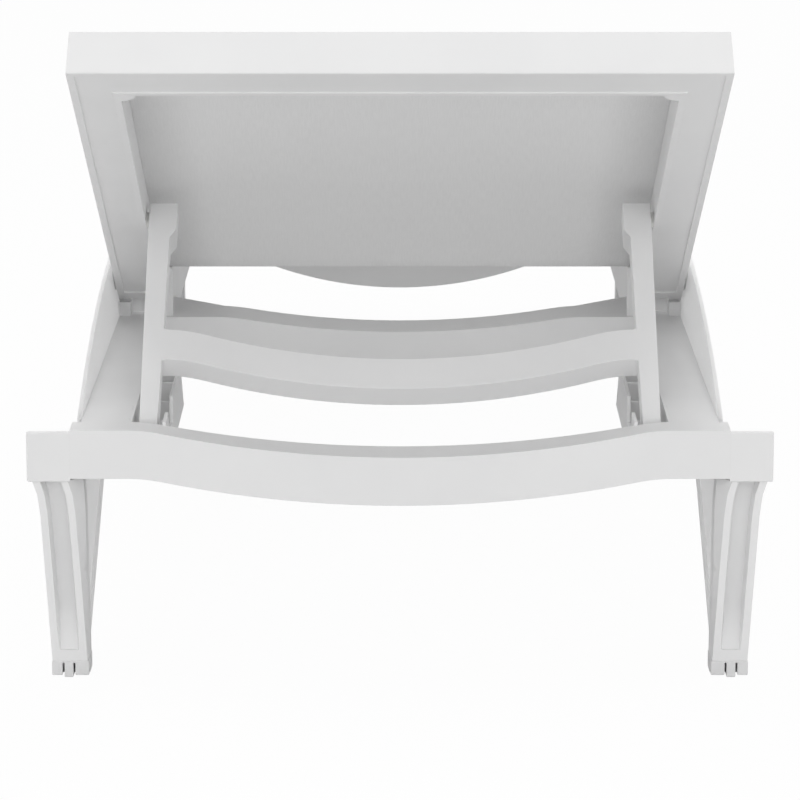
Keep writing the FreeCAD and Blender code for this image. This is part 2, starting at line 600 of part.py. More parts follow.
def leg(name, side, label, end):
    """A leg with a channel down its front: it flares out to the end block on its top."""
    body = piece(f"leg_{label}_{name}")
    shin = "leg_foot_out+(leg_shin_out-leg_foot_out)*({}-pad_height)/(leg_shin_z-pad_height)"
    levels = ((above("-block_drop"), "leg_top_out", "leg_top_in"),
              ("leg_bend_z", "leg_bend_out", "((leg_top_in+leg_knee_in)/2)"),
              ("leg_knee_z", "leg_knee_out", "leg_knee_in"),
              ("leg_shin_z", "leg_shin_out", "((leg_knee_in+leg_foot_in)/2)"),
              ("pad_height", "leg_foot_out", "leg_foot_in"))
    posts = []
    for z, outer, inner in levels:
        crest = f"({outer}-leg_ridge-leg_channel-leg_inner_ridge)"
        posts.append([z, (f"-{inner}", LEG_BACK), (outer, LEG_BACK), (outer, "leg_front"),
                      (crest, "leg_front"), (f"-{inner}", "leg_front+leg_slope_depth")])
    channels = []
    for z, outer, depth in ((above(f"{OVER}-block_drop"), "leg_top_out", "leg_channel_depth"),
                            ("leg_bend_z", "leg_bend_out", "leg_channel_depth"),
                            ("leg_knee_z", "leg_knee_out", "leg_channel_depth"),
                            ("leg_shin_z", "leg_shin_out", "leg_channel_depth"),
                            ("leg_channel_fade", shin.format("leg_channel_fade"), "leg_channel_depth"),
                            ("leg_channel_end", shin.format("leg_channel_end"), "leg_channel_last")):
        near, far, bed = f"{outer}-leg_ridge", f"{outer}-leg_ridge-leg_channel", f"leg_front+{depth}"
        channels.append([z, (near, f"leg_front-{OVER}"), (f"{near}-leg_channel_slope", bed),
                         (f"{far}+leg_channel_slope", bed), (far, f"leg_front-{OVER}")])
    for kind, sections in (("PartDesign::AdditiveLoft", posts), ("PartDesign::SubtractiveLoft", channels)):
        sketches = [sketch_on(body, "XY", z, [[(signed(side, f"rail_outer+({x})"), along(end, y))
                                               for x, y in corners]]) for z, *corners in sections]
        loft = body.newObject(kind, "Loft")
        loft.Profile = sketches[0]
        loft.Sections = sketches[1:]
        loft.Ruled = True
    box(body, "Pocket", *spigot(side, end),
        (above("-block_drop-spigot_length"), above(f"-block_drop+{OVER}")))
    return body


def spigot(side, end):
    """Where the stub of an end block sits in the top of its leg, as spans of X and Y."""
    x = spread(side, f"{BAR_REACH}+spigot_wall", f"{BAR_REACH}+spigot_wall+spigot_width")
    y = span_y(end, f"{LEG_BACK}-spigot_wall-spigot_depth", f"{LEG_BACK}-spigot_wall")
    return x, y


def end_block(name, side, label, end):
    """The cap over the top of a leg, at the end of the bar, with a stub that plugs into the leg."""
    body = piece(f"end_block_{label}_{name}")
    top = above("-block_sink") if end > 0 else above("seat_rise-block_sink")
    bottom = above("-block_drop")
    outline = [(along(end, "0"), bottom), (along(end, "block_depth"), bottom),
               (along(end, "block_depth"), f"({top})-block_slope"), (along(end, "block_top_depth"), top),
               (along(end, "0"), top)]
    extrude(body, "Pad", "YZ", *spread(side, BAR_REACH, BLOCK_OUTER), [outline])
    box(body, "Pad", *spigot(side, end), (f"{bottom}-spigot_length", f"{bottom}+{OVER}"))
    return body


def foot_pad(name, side, label, end):
    """The soft cap under a leg: narrow slots cut its front into two side lobes and a longer middle one."""
    body = piece(f"foot_pad_{label}_{name}")
    inner, outer = "(rail_outer-leg_foot_in-pad_overlap)", "(rail_outer+leg_foot_out+pad_overlap)"
    box(body, "Pad", spread(side, inner, outer), span_y(end, "leg_front-pad_overlap", LEG_BACK),
        ("0", "pad_height"))
    middle = f"({outer}-pad_lobe-pad_slot-pad_tongue)"
    y = span_y(end, f"leg_front-{UNDER}", "leg_front+leg_channel_depth")
    for start in (f"{middle}-pad_slot", f"{middle}+pad_tongue"):
        box(body, "Pocket", spread(side, start, f"{start}+pad_slot"), y, (f"-{UNDER}", "pad_height-pad_roof"))
    for low, high in ((f"{inner}-{OVER}", middle), (f"{middle}+pad_tongue", f"{outer}+{OVER}")):
        box(body, "Pocket", spread(side, low, high), y, (f"-{UNDER}", "pad_lift"))
    return body


def prop_rack(name, side):
    """A channel beside the rail for the prop's foot: a guard with a dip in it, a toothed floor, a lip and a
    low wall at its end."""
    body = piece(f"prop_rack_{name}")
    low, high, start = above("-rack_drop"), above("0"), along(1, "bar_depth")
    far_low, far_high = along(1, "rack_bottom_end"), along(1, "rack_top_end")
    guard = [(start, low), (far_low, low), (far_high, high),
             (along(1, "cradle_end+cradle_slope"), high), (along(1, "cradle_end"), above("-cradle_depth")),
             (along(1, "cradle_start"), above("-cradle_depth")),
             (along(1, "cradle_start-cradle_slope"), high), (start, high)]
    extrude(body, "Pad", "YZ", *spread(side, "slot_inner-rack_wall", "slot_inner"), [guard])
    box(body, "Pad", spread(side, "slot_inner-rack_wall", "rail_inner"), (start, far_low),
        (low, f"{low}+rack_wall"))
    lip = [(start, low), (far_low, low), (far_high, high), (start, high)]
    extrude(body, "Pad", "YZ", *spread(side, "slot_outer", "rail_inner"), [lip])
    box(body, "Pad", spread(side, f"slot_inner-{OVER}", f"slot_outer+{OVER}"),
        (along(1, "rack_stop_y"), along(1, "rack_stop_y+rack_wall")),
        (f"{low}+{OVER}", above("-rack_stop_drop")))
    for index in range(TEETH):
        foot = along(1, f"tooth_first+{index}*tooth_pitch")
        back, crest = f"{foot}+tooth_length", f"{low}+rack_wall+tooth_height+{index}*tooth_climb"
        extrude(body, "Pad", "YZ", *spread(side, f"slot_inner-{OVER}", f"slot_outer+{OVER}"),
                [[(foot, f"{low}+{OVER}"), (back, f"{low}+{OVER}"), (back, crest),
                  (f"{back}-tooth_crest", crest)]])
    return body


# ---- back ------------------------------------------------------------------------------------------------

def lean(body):
    """Stands a piece that is drawn level, with its origin at the hinge, at the back's angle."""
    body.Placement = FreeCAD.Placement(FreeCAD.Vector(0, 0, 0), FreeCAD.Rotation(FreeCAD.Vector(1, 0, 0), -1))
    body.setExpression("Placement.Base.y", bound(HINGE_Y))
    body.setExpression("Placement.Base.z", bound(HINGE_Z))
    body.setExpression("Placement.Rotation.Angle", bound("-recline"))
    return body


BACK_HEAD = "(back_tail-back_length)"
BACK_TOP = "(back_thickness/2)"


def back_frame():
    """The frame of the back: two side rails and a head bar in one moulding."""
    body = piece("back_frame")
    half, opening = BACK_HALF, "rail_inner"
    outline = [(f"-{half}", BACK_HEAD), (half, BACK_HEAD), (half, "back_tail"), (opening, "back_tail"),
               (opening, f"{BACK_HEAD}+back_bar+corner_radius", "+corner_radius"),
               (f"{opening}-corner_radius", f"{BACK_HEAD}+back_bar"),
               (f"-{opening}+corner_radius", f"{BACK_HEAD}+back_bar", "+corner_radius"),
               (f"-{opening}", f"{BACK_HEAD}+back_bar+corner_radius"),
               (f"-{opening}", "back_tail"), (f"-{half}", "back_tail")]
    extrude(body, "Pad", "XY", f"-{BACK_TOP}", BACK_TOP, [outline])
    edge, top, past = f"{BACK_HEAD}+back_bar", BACK_TOP, f"({BACK_TOP}+{OVER})"
    lean_in = [(half, f"-{top}"), (f"{half}+{OVER}", f"-{top}"), (f"{half}+{OVER}", past),
               (f"{half}-back_draft", past)]
    for name, side in SIDES:
        sling_edge(body, side, (f"{edge}-lip_width", f"back_tail+{OVER}"), top)
        extrude(body, "Pocket", "YZ", *spread(side, f"{half}-bush_length", f"{half}+{OVER}"),
                [("0", "0", "hinge_pin_radius+running_gap+bush_wall")])
        extrude(body, "Pocket", "YZ", *spread(side, f"{opening}-{OVER}", f"{opening}+prop_pin_grip"),
                [("-prop_pivot_back", "-prop_pivot_drop", "prop_pin_radius")])
        box(body, "Pocket", spread(side, f"{opening}-{OVER}", "rail_outer-boss_width"),
            ("back_tail_inner", f"back_tail+{OVER}"), (f"-{past}", past))
        extrude(body, "Pocket", "XZ", f"{BACK_HEAD}-{OVER}", f"back_tail+{OVER}",
                [[(signed(side, x), z) for x, z in lean_in]])
    box(body, "Pocket", ("-rail_inner-lip_width", "rail_inner+lip_width"),
        (f"{edge}-lip_width", f"{edge}+corner_radius"), (f"{top}-lip_recess", past))
    box(body, "Pocket", ("-rail_inner", "rail_inner"),
        (f"{edge}-lip_width-groove_width", f"{edge}-lip_width"), (f"{top}-groove_depth", past))
    outer, inner = f"({half}-under_margin)", f"({opening}+under_margin)"
    head, foot = f"{BACK_HEAD}+under_margin", "-under_end"
    bar = f"{edge}-under_margin"
    ring = [(f"-{outer}", foot), (f"-{outer}", head), (outer, head), (outer, foot),
            (inner, foot), (inner, bar), (f"-{inner}", bar), (f"-{inner}", foot)]
    extrude(body, "Pocket", "XY", f"-{past}", f"under_recess-{top}", [ring])
    return lean(body)


# ---- prop ------------------------------------------------------------------------------------------------

PROP_Y = f"({HINGE_Y}-prop_pivot_back*cos(recline)-prop_pivot_drop*sin(recline))"
PROP_Z = f"({HINGE_Z}+prop_pivot_back*sin(recline)-prop_pivot_drop*cos(recline))"


def hang(body):
    """Stands a piece that is drawn level, with its origin at the prop's pivot, at the prop's angle."""
    body.Placement = FreeCAD.Placement(FreeCAD.Vector(0, 0, 0), FreeCAD.Rotation(FreeCAD.Vector(1, 0, 0), 1))
    body.setExpression("Placement.Base.y", bound(PROP_Y))
    body.setExpression("Placement.Base.z", bound(PROP_Z))
    body.setExpression("Placement.Rotation.Angle", bound("prop_angle"))
    return body


def prop_frame():
    """The prop: two legs that narrow to their round feet, with wider heads and a bowed bar between them."""
    body = piece("prop_frame")
    half, foot = "(prop_thickness/2)", "(prop_length+prop_thickness/2)"
    outer, head = "(prop_inner+prop_leg)", "(prop_inner-prop_head_extra)"
    start, finish = "-prop_bar_start", "-(prop_bar_start+prop_bar_width)"
    bar_bow = ("prop_bar_sag", "prop_inner", "prop_bar_turn")
    extrude(body, "Pad", "XZ", finish, start,
            [bar_outline(f"(prop_inner+{OVER})", half, f"({half}-prop_bar_thickness)", bar_bow, bar_bow)])
    toe = [("-prop_length", half, f"+{half}{HALF_CIRCLE}"), ("-prop_length", f"-{half}"),
           ("-prop_length", f"-{half}-{OVER}"), (f"-{foot}-{OVER}", f"-{half}-{OVER}"),
           (f"-{foot}-{OVER}", f"{half}+{OVER}"), ("-prop_length", f"{half}+{OVER}")]
    for name, side in SIDES:
        outline = [("prop_inner", f"-{foot}"), ("prop_inner+prop_toe", f"-{foot}"), (outer, f"-{half}"),
                   (outer, half), (head, half), (head, "-prop_head_length"),
                   ("prop_inner", "-prop_head_length-prop_head_taper")]
        extrude(body, "Pad", "XY", f"-{half}", half, [[(signed(side, x), y) for x, y in outline]])
        extrude(body, "Pocket", "YZ", *spread(side, f"prop_inner-{OVER}", f"{outer}+{OVER}"), [toe])
        extrude(body, "Pocket", "YZ", *spread(side, f"{outer}-prop_pin_reach-cloth_gap", f"{outer}+{OVER}"),
                [("0", "0", "prop_pin_radius+running_gap")])
    return hang(body)


# ---- slings and their rods -------------------------------------------------------------------------------

CLOTH_HALF = "(rail_inner+lip_width-cloth_gap)"
CLOTH_LEVEL = "(cloth_gap-lip_recess)"       # its underside, from the top of the frame


def back_sling():
    """The woven cloth of the back, level with the top of its frame."""
    body = piece("back_sling")
    edge = f"({BACK_HEAD}+back_bar-lip_width+cloth_gap)"
    box(body, "Pad", (f"-{CLOTH_HALF}", CLOTH_HALF), (edge, "cloth_end"),
        (f"{BACK_TOP}+{CLOTH_LEVEL}", f"{BACK_TOP}+{CLOTH_LEVEL}+sling_thickness"))
    return lean(body)


def seat_sling():
    """The woven cloth of the seat, from the hinge to the foot bar."""
    body = piece("seat_sling")
    low = above(f"seat_rise+{CLOTH_LEVEL}")
    box(body, "Pad", (f"-{CLOTH_HALF}", CLOTH_HALF),
        (along(1, "seat_start+rail_wall+cloth_gap"), along(-1, "back_bar-lip_width+cloth_gap")),
        (low, f"{low}+sling_thickness"))
    return body


def rod(label, plane, across, level, low, high):
    """A round rod in the bottom of a sling groove."""
    body = piece(label)
    extrude(body, "Pad", plane, low, high, [(across, level, "rod_radius")])
    return body


ROD_X = "(rail_inner+lip_width+groove_width/2)"


def sling_rods():
    seat = above("seat_rise-groove_depth+rod_radius")
    back = f"({BACK_TOP}-groove_depth+rod_radius)"
    for name, side in SIDES:
        rod(f"seat_rod_{name}", "XZ", signed(side, ROD_X), seat,
            along(1, f"seat_start+rail_wall+{OVER}"), along(-1, f"back_bar+{OVER}"))
        lean(rod(f"back_rod_{name}", "XZ", signed(side, ROD_X), back,
                 f"{BACK_HEAD}+back_bar-lip_width+{OVER}", "cloth_end"))
    lean(rod("back_rod_head", "YZ", f"{BACK_HEAD}+back_bar-lip_width-groove_width/2", back,
             f"-rail_inner+{OVER}", f"rail_inner-{OVER}"))
    rod("seat_rod_foot", "YZ", along(-1, "back_bar-lip_width-groove_width/2"), seat,
        f"-rail_inner+{OVER}", f"rail_inner-{OVER}")


# ---- pins, bushes and screws -----------------------------------------------------------------------------

def tube(label, side, low, high, y, z, radius, bore):
    """A round piece along X, with a bore where one is given."""
    body = piece(label)
    extrude(body, "Pad", "YZ", *spread(side, low, high), [(y, z, radius)])
    if bore:
        extrude(body, "Pocket", "YZ", *spread(side, f"{low}-{OVER}", f"{high}+{OVER}"), [(y, z, bore)])
    return body


def hinge_hardware(name, side):
    """A steel pin held in the side panel, and the bush in the back frame that turns on it."""
    pin = tube(f"hinge_pin_{name}", side, f"{PIN_SEAT}-hinge_pin_length", PIN_SEAT, HINGE_Y, HINGE_Z,
               "hinge_pin_radius", None)
    extrude(pin, "Pad", "YZ", *spread(side, PIN_SEAT, f"{PIN_SEAT}+pin_head"),
            [(HINGE_Y, HINGE_Z, "pin_head_radius")])
    bore = "hinge_pin_radius+running_gap"
    lean(tube(f"hinge_bush_{name}", side, f"{BACK_HALF}-bush_length", BACK_HALF, "0", "0",
              f"{bore}+bush_wall", bore))


def prop_hardware(name, side):
    """The pin that joins a prop leg to the back frame, and the washer between the two."""
    y, z, outer = "-prop_pivot_back", "-prop_pivot_drop", "(prop_inner+prop_leg)"
    lean(tube(f"prop_pin_{name}", side, f"{outer}-prop_pin_reach", "rail_inner+prop_pin_grip", y, z,
              "prop_pin_radius", None))
    lean(tube(f"prop_washer_{name}", side, f"{outer}+cloth_gap", "rail_inner", y, z,
              "prop_pin_radius+prop_washer", "prop_pin_radius"))


def screws(label, spots, axis, length):
    """Pan head screws with a cross recess, one group of separate solids."""
    shapes = []
    for x, y, z, way in spots:
        head, recess = number("screw_head"), number("screw_recess")
        radius = number("screw_head_radius")
        screw = Part.makeCylinder(radius, head)
        screw = screw.fuse(Part.makeCylinder(number("screw_radius"), number(length),
                                             FreeCAD.Vector(0, 0, 0), FreeCAD.Vector(0, 0, -1)))
        for wide, deep in ((radius, recess), (recess, radius)):
            slot = Part.makeBox(wide, deep, recess, FreeCAD.Vector(-wide / 2, -deep / 2, head - recess))
            screw = screw.cut(slot)
        screw.Placement = FreeCAD.Placement(
            FreeCAD.Vector(number(x), number(y), number(z)),
            FreeCAD.Rotation(FreeCAD.Vector(0, 0, -1), axis * way))
        shapes.append(screw)
    group = doc.addObject("Part::Feature", label)
    group.Label = label
    group.Shape = Part.makeCompound(shapes)
    return group


ALONG_X, ALONG_Y = FreeCAD.Vector(1, 0, 0), FreeCAD.Vector(0, 1, 0)


head_crossbar()
foot_crossbar()
hinge_crossbar()
seat_crossbar()
for name, side in SIDES:
    side_rail(name, side)
    side_panel(name, side)
    prop_rack(name, side)
    for label, end in ENDS:
        leg(name, side, label, end)
        end_block(name, side, label, end)
        foot_pad(name, side, label, end)
    hinge_hardware(name, side)
    prop_hardware(name, side)
back_frame()
prop_frame()
back_sling()
seat_sling()
sling_rods()
screws("end_bar_screws", end_screw_spots(1) + end_screw_spots(-1), ALONG_Y, "screw_length")
screws("middle_bar_screws", bar_screw_spots(-1) + bar_screw_spots(1), ALONG_X, "screw_length")
screws("panel_screws", panel_screw_spots(-1) + panel_screw_spots(1), ALONG_X, "panel_screw_length")

doc.recompute()
problems = [f"{item.Label}: {item.State}" for item in doc.Objects
            if "Invalid" in item.State or "Error" in item.State]
bodies = [item for item in doc.Objects if item.TypeId in ("PartDesign::Body", "Part::Feature")]
for body in bodies:
    if body.Shape.isNull() or not body.Shape.isValid():
        problems.append(body.Label + ": bad shape")
if problems:
    raise RuntimeError("; ".join(problems))
os.makedirs("parts", exist_ok=True)
for body in bodies:
    body.Shape.exportStep(f"parts/{body.Label}.step")
    print(body.Label, round(body.Shape.Volume), len(body.Shape.Solids), body.Shape.BoundBox)
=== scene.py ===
import bmesh
import bpy
import json
import math
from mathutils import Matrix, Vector

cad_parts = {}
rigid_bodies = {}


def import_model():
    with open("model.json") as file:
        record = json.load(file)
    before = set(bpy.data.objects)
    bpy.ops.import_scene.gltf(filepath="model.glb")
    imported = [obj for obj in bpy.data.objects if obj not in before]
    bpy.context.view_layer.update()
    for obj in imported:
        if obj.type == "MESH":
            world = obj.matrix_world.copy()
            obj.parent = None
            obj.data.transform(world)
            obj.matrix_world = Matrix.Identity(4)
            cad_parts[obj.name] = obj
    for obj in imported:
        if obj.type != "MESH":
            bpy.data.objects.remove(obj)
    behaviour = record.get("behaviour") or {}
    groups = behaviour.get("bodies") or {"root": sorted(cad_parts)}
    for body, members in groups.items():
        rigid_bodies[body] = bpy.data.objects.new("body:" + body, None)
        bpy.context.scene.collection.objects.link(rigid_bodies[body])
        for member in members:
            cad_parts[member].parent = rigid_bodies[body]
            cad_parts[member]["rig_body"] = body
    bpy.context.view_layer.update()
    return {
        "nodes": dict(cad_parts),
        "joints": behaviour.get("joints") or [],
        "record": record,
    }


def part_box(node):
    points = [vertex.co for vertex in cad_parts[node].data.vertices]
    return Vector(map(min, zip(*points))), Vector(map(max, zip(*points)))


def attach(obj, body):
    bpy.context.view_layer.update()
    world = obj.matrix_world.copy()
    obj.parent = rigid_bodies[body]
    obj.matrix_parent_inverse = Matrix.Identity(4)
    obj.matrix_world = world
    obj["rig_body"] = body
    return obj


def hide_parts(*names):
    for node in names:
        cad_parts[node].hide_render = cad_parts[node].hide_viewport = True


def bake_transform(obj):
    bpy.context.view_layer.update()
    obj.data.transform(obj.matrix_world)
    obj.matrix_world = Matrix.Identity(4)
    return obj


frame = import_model()
nodes = frame["nodes"]
record = frame["record"]


# ---- materials -------------------------------------------------------------------------------------------

def new_material(name):
    """An empty node material: its tree, its Principled shader and its object coordinates."""
    material = bpy.data.materials.new(name)
    material.use_nodes = True
    tree = material.node_tree
    tree.nodes.clear()
    output = tree.nodes.new("ShaderNodeOutputMaterial")
    shader = tree.nodes.new("ShaderNodeBsdfPrincipled")
    tree.links.new(shader.outputs["BSDF"], output.inputs["Surface"])
    place = tree.nodes.new("ShaderNodeTexCoord")
    return material, tree, shader, place.outputs["Object"]


def noise(tree, place, scale, detail=2.0, stretch=None):
    """A noise texture's value at a place, stretched along the axes where stretch is given."""
    if stretch:
        mapping = tree.nodes.new("ShaderNodeMapping")
        mapping.inputs["Scale"].default_value = stretch
        tree.links.new(place, mapping.inputs["Vector"])
        place = mapping.outputs["Vector"]
    texture = tree.nodes.new("ShaderNodeTexNoise")
    texture.inputs["Scale"].default_value = scale
    texture.inputs["Detail"].default_value = detail
    tree.links.new(place, texture.inputs["Vector"])
    return texture.outputs["Fac"]


def ramp(tree, value, low, high, low_at=0.35, high_at=0.65):
    """A colour that runs from low to high with a value."""
    node = tree.nodes.new("ShaderNodeValToRGB")
    for element, at, tone in zip(node.color_ramp.elements, (low_at, high_at), (low, high)):
        element.position = at
        element.color = (*tone, 1.0) if len(tone) == 3 else tone
    tree.links.new(value, node.inputs["Fac"])
    return node.outputs["Color"]


def bump(tree, shader, height, distance, strength=1.0, under=None):
    """Gives the shader relief of a height, over the relief under it where there is some."""
    node = tree.nodes.new("ShaderNodeBump")
    node.inputs["Distance"].default_value = distance
    node.inputs["Strength"].default_value = strength
    tree.links.new(height, node.inputs["Height"])
    if under is not None:
        tree.links.new(under, node.inputs["Normal"])
    tree.links.new(node.outputs["Normal"], shader.inputs["Normal"])
    return node.outputs["Normal"]


def multiplied(tree, first, second):
    """Two colours multiplied."""
    node = tree.nodes.new("ShaderNodeMix")
    node.data_type = "RGBA"
    node.blend_type = "MULTIPLY"
    node.inputs["Factor"].default_value = 1.0
    tree.links.new(first, node.inputs["A"])
    tree.links.new(second, node.inputs["B"])
    return node.outputs["Result"]


def edge_wear(tree, reach):
    """1 on open faces, less within reach of an edge."""
    rounded = tree.nodes.new("ShaderNodeBevel")
    rounded.samples = 3
    rounded.inputs["Radius"].default_value = reach
    product = tree.nodes.new("ShaderNodeVectorMath")
    product.operation = "DOT_PRODUCT"
    tree.links.new(rounded.outputs["Normal"], product.inputs[0])
    tree.links.new(tree.nodes.new("ShaderNodeNewGeometry").outputs["Normal"], product.inputs[1])
    return product.outputs["Value"]


GLOW_REACH = 0.05        # how far light spreads in a thin white wall


def moulded(name, dark, light, roughness, grain, glow=0.0):
    """Moulded plastic: a faint cloudy tone, edges a little dull and rubbed smooth, and a fine texture from
    the mould."""
    material, tree, shader, place = new_material(name)
    worn = edge_wear(tree, 0.002)
    cloudy = ramp(tree, noise(tree, place, 9.0, 3.0), dark, light)
    tinged = ramp(tree, worn, (0.955, 0.952, 0.948), (1.0, 1.0, 1.0), 0.2, 0.95)
    tree.links.new(multiplied(tree, cloudy, tinged), shader.inputs["Base Color"])
    rubbed = ramp(tree, worn, (0.8, 0.8, 0.8), (1.0, 1.0, 1.0), 0.2, 0.95)
    gloss = ramp(tree, noise(tree, place, 24.0), (roughness - 0.04,) * 3, (roughness + 0.04,) * 3)
    tree.links.new(multiplied(tree, gloss, rubbed), shader.inputs["Roughness"])
    fine = bump(tree, shader, noise(tree, place, 1400.0), grain, 0.35)
    bump(tree, shader, noise(tree, place, 55.0, 1.0), 0.0004, 0.12, fine)
    shader.inputs["IOR"].default_value = 1.49
    shader.inputs["Subsurface Weight"].default_value = glow
    shader.inputs["Subsurface Radius"].default_value = (1.0, 1.0, 1.0)
    shader.inputs["Subsurface Scale"].default_value = GLOW_REACH
    return material


RESIN = moulded("white_resin", (0.85, 0.85, 0.852), (0.872, 0.872, 0.872), 0.38, 0.00012)
# Side panels: the same resin, which really lets light spread through its thin walls; its colour is painted
# lighter than the other resin parts, as painted light on the panels' inner faces.
THIN_RESIN_PAINTED_LIGHTER = moulded("white_resin_thin_painted_lighter", (0.92, 0.92, 0.922), (0.94, 0.94, 0.94), 0.38, 0.00012, 1.0)
PAD = moulded("soft_foot_plastic", (0.78, 0.78, 0.782), (0.82, 0.82, 0.82), 0.55, 0.0002)
NYLON = moulded("nylon", (0.72, 0.72, 0.70), (0.76, 0.76, 0.74), 0.42, 0.0001)


def brushed_steel():
    material, tree, shader, place = new_material("brushed_steel")
    streaks = noise(tree, place, 700.0, 2.0, (0.05, 1.0, 1.0))
    tree.links.new(ramp(tree, streaks, (0.50, 0.50, 0.51), (0.64, 0.64, 0.65)), shader.inputs["Base Color"])
    tree.links.new(ramp(tree, streaks, (0.26,) * 3, (0.36,) * 3), shader.inputs["Roughness"])
    shader.inputs["Metallic"].default_value = 1.0
    return material


STEEL = brushed_steel()


def maths(tree, kind, first, second=None, third=None):
    """A value worked out from up to three numbers or other values."""
    node = tree.nodes.new("ShaderNodeMath")
    node.operation = kind
    for socket, value in zip(node.inputs, (first, second, third)):
        if value is None:
            continue
        if isinstance(value, (int, float)):
            socket.default_value = value
        else:
            tree.links.new(value, socket)
    return node.outputs["Value"]


THREAD = 0.0011      # from one thread of the sling to the next
# Painted shade: the cloth lets less light through towards its edges, where the frame shades it.
EDGE_SHADE_START, EDGE_SHADE_END = 0.195, 0.262    # from the sling's middle: towards its edges it lets less light through


def woven():
    """Woven vinyl-coated yarn: threads over and under each other, a little see-through to light."""
    material, tree, shader, place = new_material("woven_sling")
    cloth = tree.nodes.new("ShaderNodeAttribute")
    cloth.attribute_name = "cloth"
    parts = tree.nodes.new("ShaderNodeSeparateXYZ")
    tree.links.new(cloth.outputs["Vector"], parts.inputs["Vector"])
    along, across = (maths(tree, "SINE", maths(tree, "MULTIPLY", parts.outputs[axis], math.pi / THREAD))
                     for axis in ("X", "Y"))
    warp = maths(tree, "ABSOLUTE", along)
    weft = maths(tree, "ABSOLUTE", across)
    over = maths(tree, "GREATER_THAN", maths(tree, "MULTIPLY", along, across), 0.0)
    under = maths(tree, "SUBTRACT", 1.0, over)
    height = maths(tree, "ADD", maths(tree, "MULTIPLY", warp, over), maths(tree, "MULTIPLY", weft, under))
    tone = ramp(tree, height, (0.72, 0.72, 0.72), (0.87, 0.87, 0.87), 0.05, 0.75)
    slub = ramp(tree, noise(tree, cloth.outputs["Vector"], 60.0, 2.0, (12.0, 0.6, 1.0)),
                (0.965,) * 3, (1.0,) * 3)
    colour = multiplied(tree, tone, slub)
    tree.links.new(colour, shader.inputs["Base Color"])
    shader.inputs["Roughness"].default_value = 0.62
    shader.inputs["Sheen Weight"].default_value = 0.08
    bump(tree, shader, height, 0.0003, 0.5)
    through = tree.nodes.new("ShaderNodeBsdfTranslucent")
    tree.links.new(colour, through.inputs["Color"])
    mix = tree.nodes.new("ShaderNodeMixShader")
    # Painted shade: less light comes through the cloth near its edges, where the frame shades it.
    from_middle = maths(tree, "ABSOLUTE", parts.outputs["X"])
    clear = ramp(tree, from_middle, (0.45,) * 3, (0.15,) * 3, EDGE_SHADE_START, EDGE_SHADE_END)
    tree.links.new(clear, mix.inputs["Fac"])
    output = next(node for node in tree.nodes if node.type == "OUTPUT_MATERIAL")
    tree.links.new(shader.outputs["BSDF"], mix.inputs[1])
    tree.links.new(through.outputs["BSDF"], mix.inputs[2])
    tree.links.new(mix.outputs["Shader"], output.inputs["Surface"])
    return material


SLING = woven()
FINISH = {"resin": RESIN, "pad": PAD, "nylon": NYLON, "keder": NYLON, "steel": STEEL, "sling": SLING}
SLOT_OF = {entry["node"]: entry["material_slot"] for entry in record["subparts"]}
for label, node in nodes.items():
    node.data.materials.clear()
    node.data.materials.append(THIN_RESIN_PAINTED_LIGHTER if label.startswith("side_panel") else FINISH[SLOT_OF[label]])


# ---- mouldings with rounded edges ------------------------------------------------------------------------

WELD = 0.00002                   # vertices nearer than this are one
LEVEL = math.radians(0.6)        # faces that meet at less than this are one
SHARP = math.radians(28)         # edges that turn more than this are rounded
CREASE = math.radians(35)        # edges that turn more than this stay sharp in the shading
FILLET = 0.0045                  # the wider rounding of a few chosen edges
NEAR = 0.0008                    # as close as an edge lies to the plane it is looked for in
RECLINE = math.radians(27.1)     # how far the back stands above the seat at rest


def placed(edge):
    """An edge's middle and direction."""
    first, second = (vert.co for vert in edge.verts)
    return (first + second) / 2, (second - first).normalized()


def round_edges(work, chosen, radius, segments):
    """Rounds the sharp edges for which chosen(edge) is true."""
    edges = [edge for edge in work.edges if len(edge.link_faces) == 2 and edge.calc_face_angle(0) > SHARP
             and chosen(edge)]
    bmesh.ops.bevel(work, geom=edges, offset=radius, segments=segments, profile=0.5, affect="EDGES",
                    clamp_overlap=True)


def moulding(label, radius, keep=None, fillet=None):
    """Stands a copy of a CAD piece in its place, with its sharp edges rounded. keep(middle, direction) names
    the edges that stay as they are, such as those where two pieces meet flush. fillet(edge, middle,
    direction) names the edges that get the wider rounding."""
    mesh = nodes[label].data.copy()
    mesh.name = label + "_moulding"
    work = bmesh.new()
    work.from_mesh(mesh)
    bmesh.ops.remove_doubles(work, verts=work.verts, dist=WELD)
    bmesh.ops.dissolve_limit(work, angle_limit=LEVEL, verts=work.verts, edges=work.edges)
    if fillet:
        round_edges(work, lambda edge: fillet(edge, *placed(edge)), FILLET, 5)
    round_edges(work, lambda edge: not (keep and keep(*placed(edge))), radius, 3)
    work.to_mesh(mesh)
    work.free()
    piece = bpy.data.objects.new(label + "_shown", mesh)
    bpy.context.scene.collection.objects.link(piece)
    mesh.shade_smooth()
    mesh.set_sharp_from_angle(angle=CREASE)
    smooth = piece.modifiers.new("Weighted", "WEIGHTED_NORMAL")
    smooth.keep_sharp = True
    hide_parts(label)
    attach(piece, nodes[label]["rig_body"])


bar_low, bar_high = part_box("head_crossbar")
rail_low, rail_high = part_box("side_rail_right")
joint_planes_y = (rail_low.y, rail_high.y)
joint_planes_x = (rail_low.x, bar_high.x)


def at_joint(middle, direction):
    """Edges where rails, bars, racks and end blocks meet flush."""
    return (any(abs(middle.y - y) < NEAR and abs(direction.y) < 0.01 for y in joint_planes_y)
            or any(abs(abs(middle.x) - x) < NEAR and abs(direction.x) < 0.01 for x in joint_planes_x))


prop_inner = 0.2312      # half the width between the prop's legs
head_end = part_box("back_frame")[0].y + 0.06      # the head bar of the back lies before this
underside = Vector((0.0, -math.sin(RECLINE), -math.cos(RECLINE)))


